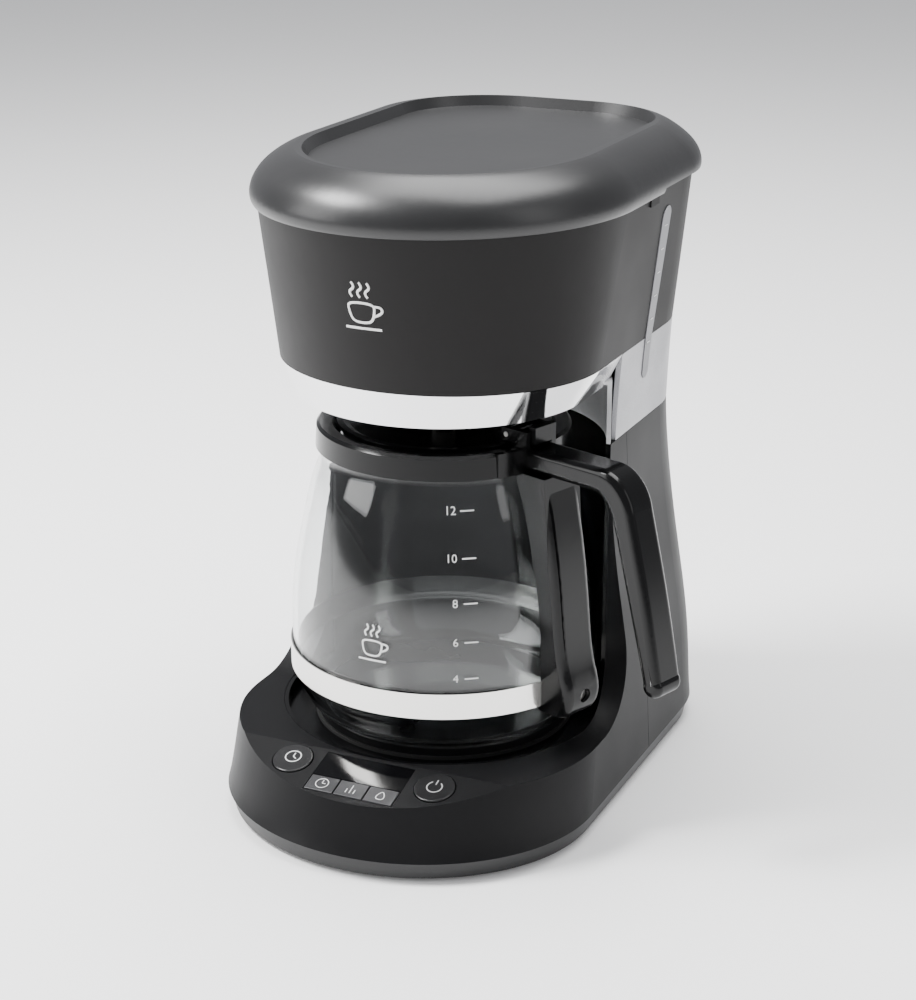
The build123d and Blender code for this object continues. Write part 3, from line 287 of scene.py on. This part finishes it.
# ---- printed signs
# Pad-printed marks in white and grey ink: a cup with steam on the housing and the jug,
# cup numbers with dashes on the jug, and small signs on the buttons and keys.
white_ink = moulded("white_ink", (0.78, 0.78, 0.77), 0.5, 700, 0.1)
grey_ink = moulded("grey_ink", (0.38, 0.38, 0.38), 0.5, 700, 0.1)
MM = 0.001
ink_proud = 0.12 * MM
ink_swell = 0.25


def pen_lines(strokes, width):
    """Flat pen strokes in millimetres, as one mesh; each stroke is (points, closed)."""
    path = bpy.data.curves.new("pen", "CURVE")
    path.dimensions = "3D"
    path.bevel_depth = width / 2 * MM
    path.bevel_resolution = 1
    path.resolution_u = 6
    for points, closed in strokes:
        line = path.splines.new("NURBS")
        line.points.add(len(points) - 1)
        for spot, (x, y) in zip(line.points, points):
            spot.co = (x * MM, y * MM, 0, 1)
        line.order_u = 3
        line.use_endpoint_u = not closed
        line.use_cyclic_u = closed
    return as_mesh(path)


def as_mesh(data):
    """Turn a curve or text into a mesh object lying in its own plane."""
    drawn = bpy.data.objects.new("drawn", data)
    bpy.context.scene.collection.objects.link(drawn)
    bpy.ops.object.select_all(action="DESELECT")
    drawn.select_set(True)
    bpy.context.view_layer.objects.active = drawn
    bpy.ops.object.convert(target="MESH")
    return bpy.context.object


def numeral(word, height):
    """A number as a thin raised mesh that ends at the origin."""
    letters = bpy.data.curves.new("numeral", "FONT")
    letters.body = word
    letters.size = height * MM
    letters.align_x = "RIGHT"
    letters.align_y = "CENTER"
    letters.extrude = 0.1 * MM
    letters.resolution_u = 3
    return as_mesh(letters)


def lay_on(sign, node, start, across, up, push, ink, body, name):
    """Press a flat sign onto a piece: each point is dropped along push onto its skin."""
    start, across, up, push = Vector(start), Vector(across), Vector(up), Vector(push)
    for spot in sign.data.vertices:
        origin = start + across * spot.co.x + up * spot.co.y
        hit, place = nodes[node].ray_cast(origin, push)[:2]
        if not hit:
            place = origin
        spot.co = place - push * (ink_proud + ink_swell * spot.co.z)
    sign.name = name
    sign.data.materials.clear()
    sign.data.materials.append(ink)
    bpy.ops.object.select_all(action="DESELECT")
    sign.select_set(True)
    bpy.context.view_layer.objects.active = sign
    bpy.ops.object.mode_set(mode="EDIT")
    bpy.ops.mesh.select_all(action="SELECT")
    bpy.ops.mesh.remove_doubles(threshold=0.000002)
    bpy.ops.mesh.normals_make_consistent(inside=False)
    bpy.ops.object.mode_set(mode="OBJECT")
    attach(sign, body)


def cup_sign(size):
    """Cup, handle, saucer line and three curls of steam."""
    cup = [(-5, 0), (-5, -3), (-4, -6.4), (-2, -7.4), (2, -7.4), (4, -6.4), (5, -3), (5, 0)]
    ear = [(5, -1), (7.8, -0.8), (8, -3.6), (4.4, -4.8)]
    strokes = [(cup, True), (ear, False), ([(-7, -9.6), (0, -9.6), (7, -9.6)], False)]
    for x in (-3, 0, 3):
        strokes.append(([(x, 2), (x - 1.6, 3.8), (x + 1.6, 5.8), (x, 7.6)], False))
    scaled = [([(x * size, y * size) for x, y in points], closed) for points, closed in strokes]
    return pen_lines(scaled, 0.95 * size)


jug_low, jug_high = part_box("carafe_glass")
jug_axis = ((jug_low[0] + jug_high[0]) / 2, (jug_low[1] + jug_high[1]) / 2)
housing_sign_height = 0.259
ahead_of_housing = 0.15
lay_on(cup_sign(1.25), "upper_housing",
       (jug_axis[0] - 2 * MM, jug_axis[1] - ahead_of_housing, housing_sign_height),
       (1, 0, 0), (0, 0, 1), (0, 1, 0), white_ink, "machine", "housing_sign")
outside_jug = 0.12


def on_jug(sign, angle, height, name):
    """Lay a sign on the jug's skin at an angle round it and a height, from outside."""
    out = Vector((math.cos(math.radians(angle)), math.sin(math.radians(angle)), 0))
    start = Vector((jug_axis[0], jug_axis[1], height)) + out * outside_jug
    lay_on(sign, "carafe_glass", start, (-out.y, out.x, 0), (0, 0, 1), -out, white_ink,
           "carafe", name)


cup_marks = {"4": 0.0821, "6": 0.0998, "8": 0.118, "10": 0.1384, "12": 0.1595}
number_angle, dash_angle, sign_angle = -60.2, -55.6, -92.0
number_size = 5.4
dash_stroke = ([(-3.2, 0), (0, 0), (3.2, 0)], False)
for cups, height in cup_marks.items():
    on_jug(numeral(cups, number_size), number_angle, height, "cups_" + cups)
    on_jug(pen_lines([dash_stroke], 0.7), dash_angle, height, "dash_" + cups)
on_jug(cup_sign(1.0), sign_angle, 0.098, "jug_sign")

# The deck slopes up to the back, and its signs are read from the front.
deck_slope = math.radians(15.1)
deck_up = Vector((0, math.cos(deck_slope), math.sin(deck_slope)))
deck_push = Vector((0, math.sin(deck_slope), -math.cos(deck_slope)))
button_line, key_line = 0.090, 0.1021
above_deck = 0.02


def on_key(sign, key, ink, shift=0.0):
    """Lay a sign on the middle of a button or key, shifted along the slope."""
    low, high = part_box(key)
    line = button_line if key in ("start_button", "delay_button") else key_line
    top = Vector(((low[0] + high[0]) / 2, jug_axis[1] - line, high[2]))
    start = top + deck_up * shift * MM - deck_push * above_deck
    lay_on(sign, key, start, (1, 0, 0), deck_up, deck_push, ink, key, key + "_sign")


def arc(radius, first, last, steps=14):
    """Points of an arc in degrees."""
    turns = [math.radians(first + (last - first) * i / steps) for i in range(steps + 1)]
    return [(radius * math.cos(t), radius * math.sin(t)) for t in turns]


button_pen, key_pen = 0.6, 0.45
power_sign = [(arc(3.6, 125, 415), False), ([(0, 1.6), (0, 3), (0, 4.6)], False)]
on_key(pen_lines(power_sign, button_pen), "start_button", grey_ink, -0.8)
late_clock = [(arc(3.8, 0, 338), True),
              ([(0, 2.4), (0, 1.2), (0, 0)], False),
              ([(0, 0), (0.9, -0.6), (1.8, -1.2)], False)]
on_key(pen_lines(late_clock, button_pen), "delay_button", white_ink)
hour_clock = [([(0, 2.2), (0, 1), (0, 0)], False),
              ([(0, 0), (0.8, 0), (1.7, 0)], False),
              (arc(3.1, 0, 338), True)]
on_key(pen_lines(hour_clock, key_pen), "hour_button", white_ink)
minute_bars = [([(0, 2.6), (0, 0), (0, -2.6)], False),
               ([(-2, 0), (-2, -1.3), (-2, -2.6)], False),
               ([(2, 0), (2, -1.3), (2, -2.6)], False)]
on_key(pen_lines(minute_bars, key_pen), "minute_button", white_ink)
drop_sign = [([(0, 3), (1.9, 0), (1.9, -2.2), (0, -2.8), (-1.9, -2.2), (-1.9, 0)], True)]
on_key(pen_lines(drop_sign, key_pen), "clean_button", white_ink)

# ---- level ticks on the water window
# Short white bars printed up the strip, evenly spaced, by which the tank is filled.  Each
# is a stroke of the same ink as the signs, laid on from the side.
window_low, window_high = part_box("water_window")
window_line = (window_low[1] + window_high[1]) / 2
beside_window = 0.12
ticks, lowest_tick, tick_rise = 6, 0.214, 0.0115
for step in range(ticks):
    tick = pen_lines([([(-2.0, 0), (0, 0), (2.0, 0)], False)], 0.55)
    lay_on(tick, "water_window", (beside_window, window_line, lowest_tick + tick_rise * step),
           (0, 1, 0), (0, 0, 1), (-1, 0, 0), white_ink, "machine", "level_tick_" + str(step))

# ---- floor, light and camera
# A plain pale floor under an even pale sky, broad soft lamps left, right and above, a
# smaller one that lights the lid's rim, and the viewpoint in front, above the grip side.
bpy.ops.object.select_all(action="DESELECT")
bpy.ops.mesh.primitive_plane_add(size=14, location=(0, 0, 0))
floor = bpy.context.object
floor.name = "floor"
pale = bpy.data.materials.new("pale_floor")
pale.use_nodes = True
pale_shader = pale.node_tree.nodes["Principled BSDF"]
pale_shader.inputs["Base Color"].default_value = (0.9, 0.9, 0.9, 1)
pale_shader.inputs["Roughness"].default_value = 0.9
pale_shader.inputs["Emission Color"].default_value = (1, 1, 1, 1)
pale_shader.inputs["Emission Strength"].default_value = 0.1
floor.data.materials.append(pale)

world = bpy.data.worlds.new("studio")
bpy.context.scene.world = world
world.use_nodes = True
sky = world.node_tree.nodes["Background"]
sky.inputs["Color"].default_value = (0.95, 0.96, 1.0, 1)
sky.inputs["Strength"].default_value = 0.5


def soft_lamp(name, place, aim, width, height, power):
    """Large softbox aimed at a point."""
    lamp = bpy.data.lights.new(name, "AREA")
    lamp.shape = "RECTANGLE"
    lamp.size = width
    lamp.size_y = height
    lamp.energy = power
    holder = bpy.data.objects.new(name, lamp)
    bpy.context.scene.collection.objects.link(holder)
    holder.location = place
    turn = (Vector(aim) - Vector(place)).to_track_quat("-Z", "Y")
    holder.rotation_euler = turn.to_euler()


soft_lamp("left_box", (-1.3, -0.9, 0.9), (0, 0, 0.15), 0.9, 1.3, 19)
soft_lamp("right_box", (1.5, -0.2, 0.9), (0, 0, 0.15), 0.6, 1.2, 4)
soft_lamp("top_box", (0.0, 0.35, 1.7), (0, 0, 0.2), 1.4, 1.2, 56)
soft_lamp("brow_box", (-0.85, -0.42, 1.4), (0, 0, 0.25), 0.5, 0.4, 44)

view_round, view_down = math.radians(24.39), math.radians(90 - 19.63)
view = bpy.data.cameras.new("view")
view.sensor_width = 36.0
view.lens = 79.2
view.clip_start = 0.05
eye = bpy.data.objects.new("view", view)
bpy.context.scene.collection.objects.link(eye)
eye.location = (0.39521, -0.9218, 0.4973)
eye.rotation_euler = (view_down, 0, view_round)
bpy.context.scene.camera = eye
